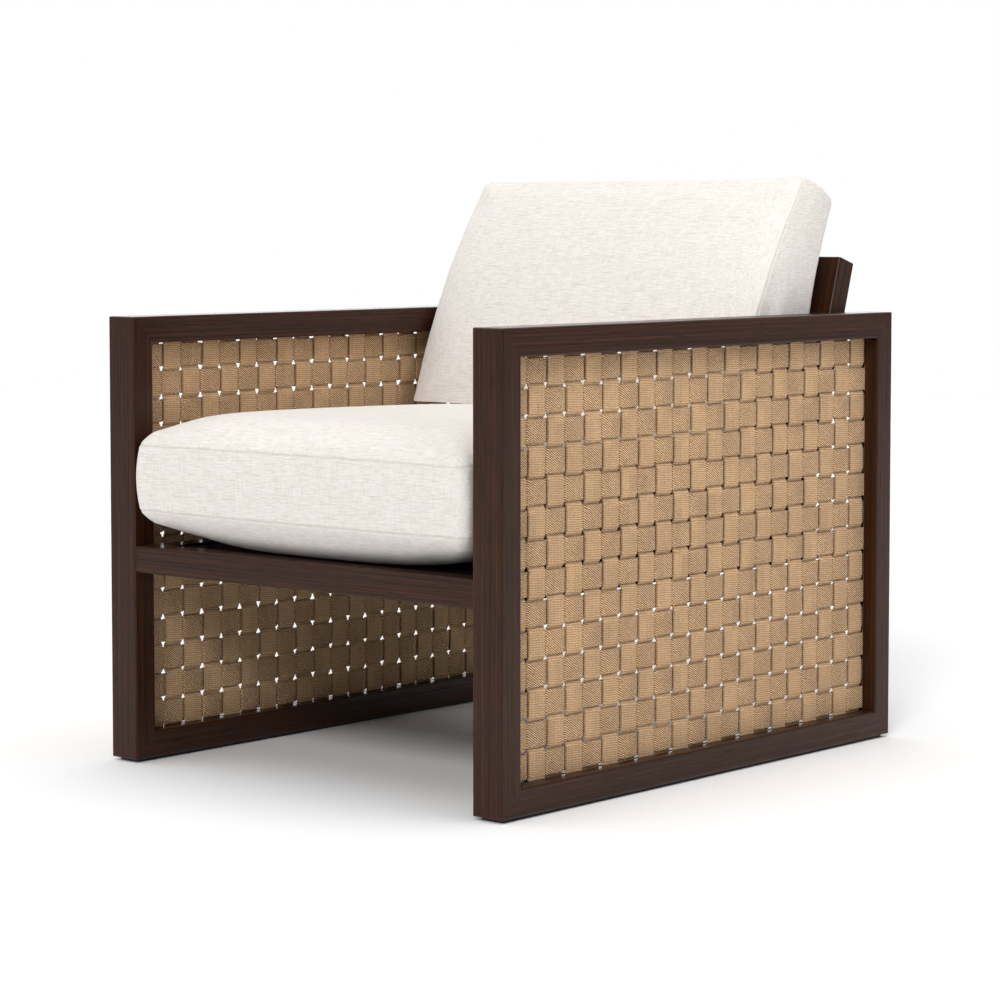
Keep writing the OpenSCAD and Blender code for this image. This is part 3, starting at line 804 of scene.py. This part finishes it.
class ARMCHAIR_OT_finish_frame(bpy.types.Operator):
    """Stain the wood and finish the fittings"""

    bl_idname = "armchair.finish_frame"
    bl_label = "Finish frame"

    def execute(self, context):
        across = stained_ash("stained_ash_across", "X")
        lengthwise = stained_ash("stained_ash_lengthwise", "Y")
        upright = stained_ash("stained_ash_upright", "Z")
        raked = stained_ash("stained_ash_raked", "Z", raked_axes().to_euler().x)
        for side, _ in SIDES:
            dress(upright, f"{side}_front_stile", f"{side}_rear_stile")
            dress(lengthwise, f"{side}_arm_rail", f"{side}_floor_rail", f"{side}_seat_rail")
            dress(raked, f"{side}_back_post")
        dress(across, "seat_front_rail", "seat_rear_rail", "seat_cross_rail")
        dress(across, "back_top_rail", "back_bottom_rail")
        # Beech: pale, close grained, left bare inside the joints
        beech = plain_material(
            "bare_beech", "#cfae82", (3 * MM, 3 * MM, 12 * MM), 0.05 * MM, Roughness=0.6, IOR=1.5
        )
        for side, _ in SIDES:
            dress(beech, f"{side}_mitre_tenons", f"{side}_strap_keys")
        dress(beech, "seat_dowels", "back_dowels", "back_strap_keys")
        # Zinc plated steel: bright grey with a fine rolled grain
        steel = plain_material(
            "zinc_plated_steel", "#b9bcc0", (0.4 * MM, 0.4 * MM, 0.4 * MM), 0.02 * MM,
            Roughness=0.32, Metallic=1.0,
        )
        dress(steel, "post_bolts", "post_washers", "arm_inserts", "post_screws")
        # Moulded nylon: black, dull, slightly pebbled
        nylon = plain_material(
            "moulded_nylon", "#17171a", (0.8 * MM, 0.8 * MM, 0.8 * MM), 0.08 * MM,
            Roughness=0.5, IOR=1.53,
        )
        dress(nylon, "left_glide_strip", "right_glide_strip")
        # Elastic webbing: black polyester over rubber, ribbed along its length
        rib, rib_run = 1.6 * MM, 40 * MM
        for way, cell in (("cross", (rib_run, rib, rib)), ("long", (rib, rib_run, rib))):
            elastic = plain_material(
                f"elastic_webbing_{way}", "#26262a", cell, 0.4 * MM, Roughness=0.75, IOR=1.5
            )
            dress(elastic, f"deck_{way}_straps")
        # Spun-bonded polypropylene: black, matt, faintly speckled
        deck = plain_material(
            "spun_bonded_cloth", "#1d1d1f", (1 * MM, 1 * MM, 1 * MM), 0.1 * MM, Roughness=0.9, IOR=1.49
        )
        dress(deck, "deck_cloth")
        return {"FINISHED"}


# ---- studio --------------------------------------------------------------


def far_light(name, place, spread, strength):
    """Far, even light that shines on the chair from a place; spread is how wide it looks."""
    bpy.ops.object.light_add(type="SUN", location=place)
    lamp = bpy.context.object
    lamp.name = name
    lamp.data.angle = spread
    lamp.data.energy = strength
    lamp.rotation_euler = Vector(place).to_track_quat("Z", "Y").to_euler()


class ARMCHAIR_OT_build_studio(bpy.types.Operator):
    """Lay the floor, hang the lights and set the camera"""

    bl_idname = "armchair.build_studio"
    bl_label = "Build studio"

    def execute(self, context):
        look = context.scene.armchair_studio
        start_clean()
        bpy.ops.mesh.primitive_plane_add(size=16)
        floor = context.object
        floor.name = "studio_floor"
        # Matt white paper sweep
        paper = plain_material(
            "white_paper", "#fafafa", (2 * MM, 2 * MM, 2 * MM), 0.01 * MM, 0.97,
            Roughness=0.9, Specular_IOR_Level=0.1,
        )
        floor.data.materials.append(paper)
        room = bpy.data.worlds.new("white_room")
        context.scene.world = room
        room.use_nodes = True
        # The wall is white. Shiny faces mirror the lit part behind the chair, and the rest
        # of the room gives a softer light.
        turn, tilt = look.azimuth, look.elevation
        tree = room.node_tree
        camera_ray = add(tree, "ShaderNodeLightPath", out="Is Camera Ray")
        glossy_ray = camera_ray.node.outputs["Is Glossy Ray"]
        way = add(tree, "ShaderNodeTexCoord", out="Generated")
        behind = add(
            tree, "ShaderNodeVectorMath", {0: way, 1: (-math.sin(turn), math.cos(turn), 0)},
            out="Value", operation="DOT_PRODUCT",
        )
        lit = add(tree, RANGE, {"Value": behind, "From Min": 0.45, "From Max": 0.85})
        seen = add(tree, MATH, {0: lit, 1: glossy_ray}, operation="MULTIPLY")
        mirrored = add(tree, MATH, {0: seen, 1: look.backdrop}, operation="MULTIPLY")
        white = add(tree, MATH, {0: mirrored, 1: camera_ray}, operation="MAXIMUM")
        wall = add(
            tree, MATH, {0: white, 1: look.wall - look.daylight, 2: look.daylight},
            operation="MULTIPLY_ADD",
        )
        tree.links.new(wall, tree.nodes["Background"].inputs["Strength"])
        tree.nodes["Background"].inputs["Color"].default_value = (1, 1, 1, 1)
        far_light("key_light", (1.5, -3.0, 2.2), radians(16), look.key)
        far_light("top_light", (-0.4, 0.3, 3.4), radians(80), look.top)
        far_light("fill_light", (-2.4, -2.6, 1.6), radians(60), look.fill)
        side_place, side_way = (1.15, -0.1, 1.2), (1.15, -0.1, 0.8)
        bpy.ops.object.light_add(type="AREA", location=side_place)
        side = context.object
        side.name = "side_light"
        side.data.size = 0.7
        side.data.energy = look.side
        side.rotation_euler = Vector(side_way).to_track_quat("Z", "Y").to_euler()
        back = Vector((
            math.sin(turn) * math.cos(tilt), -math.cos(turn) * math.cos(tilt), math.sin(tilt)
        ))
        aim = Vector((
            look.aim_side * math.cos(turn), look.aim_side * math.sin(turn), look.aim_height
        ))
        bpy.ops.object.camera_add(location=aim + back * look.distance)
        camera = context.object
        camera.rotation_euler = (-back).to_track_quat("-Z", "Y").to_euler()
        camera.data.lens = look.lens
        camera.data.sensor_width = 36
        camera.data.shift_y = look.rise
        camera.data.clip_end = 100
        context.scene.camera = camera
        context.scene.view_settings.view_transform = "Standard"
        return {"FINISHED"}


class ARMCHAIR_PT_panel(bpy.types.Panel):
    """Sidebar panel with the chair's pieces"""

    bl_label = "Woven armchair"
    bl_idname = "ARMCHAIR_PT_panel"
    bl_space_type = "VIEW_3D"
    bl_region_type = "UI"
    bl_category = "Armchair"

    def draw(self, context):
        for operator in OPERATORS:
            self.layout.operator(operator.bl_idname)
        for name in GROUPS:
            group = getattr(context.scene, name)
            box = self.layout.box()
            for setting in group.__annotations__:
                box.prop(group, setting)


GROUPS = {
    "armchair_frame": FrameFinish,
    "armchair_webbing": Webbing,
    "armchair_cushions": Cushions,
    "armchair_studio": Studio,
}
OPERATORS = (
    ARMCHAIR_OT_finish_frame,
    ARMCHAIR_OT_weave_sides,
    ARMCHAIR_OT_weave_back,
    ARMCHAIR_OT_sew_seat_cushion,
    ARMCHAIR_OT_sew_back_cushion,
    ARMCHAIR_OT_build_studio,
)


def register():
    """Registers the settings, the operators and the panel."""
    for name, group in GROUPS.items():
        bpy.utils.register_class(group)
        setattr(bpy.types.Scene, name, PointerProperty(type=group))
    for item in (*OPERATORS, ARMCHAIR_PT_panel):
        bpy.utils.register_class(item)


def unregister():
    """Takes them away again."""
    for item in (ARMCHAIR_PT_panel, *reversed(OPERATORS)):
        bpy.utils.unregister_class(item)
    for name, group in GROUPS.items():
        delattr(bpy.types.Scene, name)
        bpy.utils.unregister_class(group)


def main():
    """Makes every piece in order."""
    register()
    bpy.ops.armchair.finish_frame()
    bpy.ops.armchair.weave_sides()
    bpy.ops.armchair.weave_back()
    bpy.ops.armchair.sew_seat_cushion()
    bpy.ops.armchair.sew_back_cushion()
    bpy.ops.armchair.build_studio()


if __name__ == "__main__":
    main()
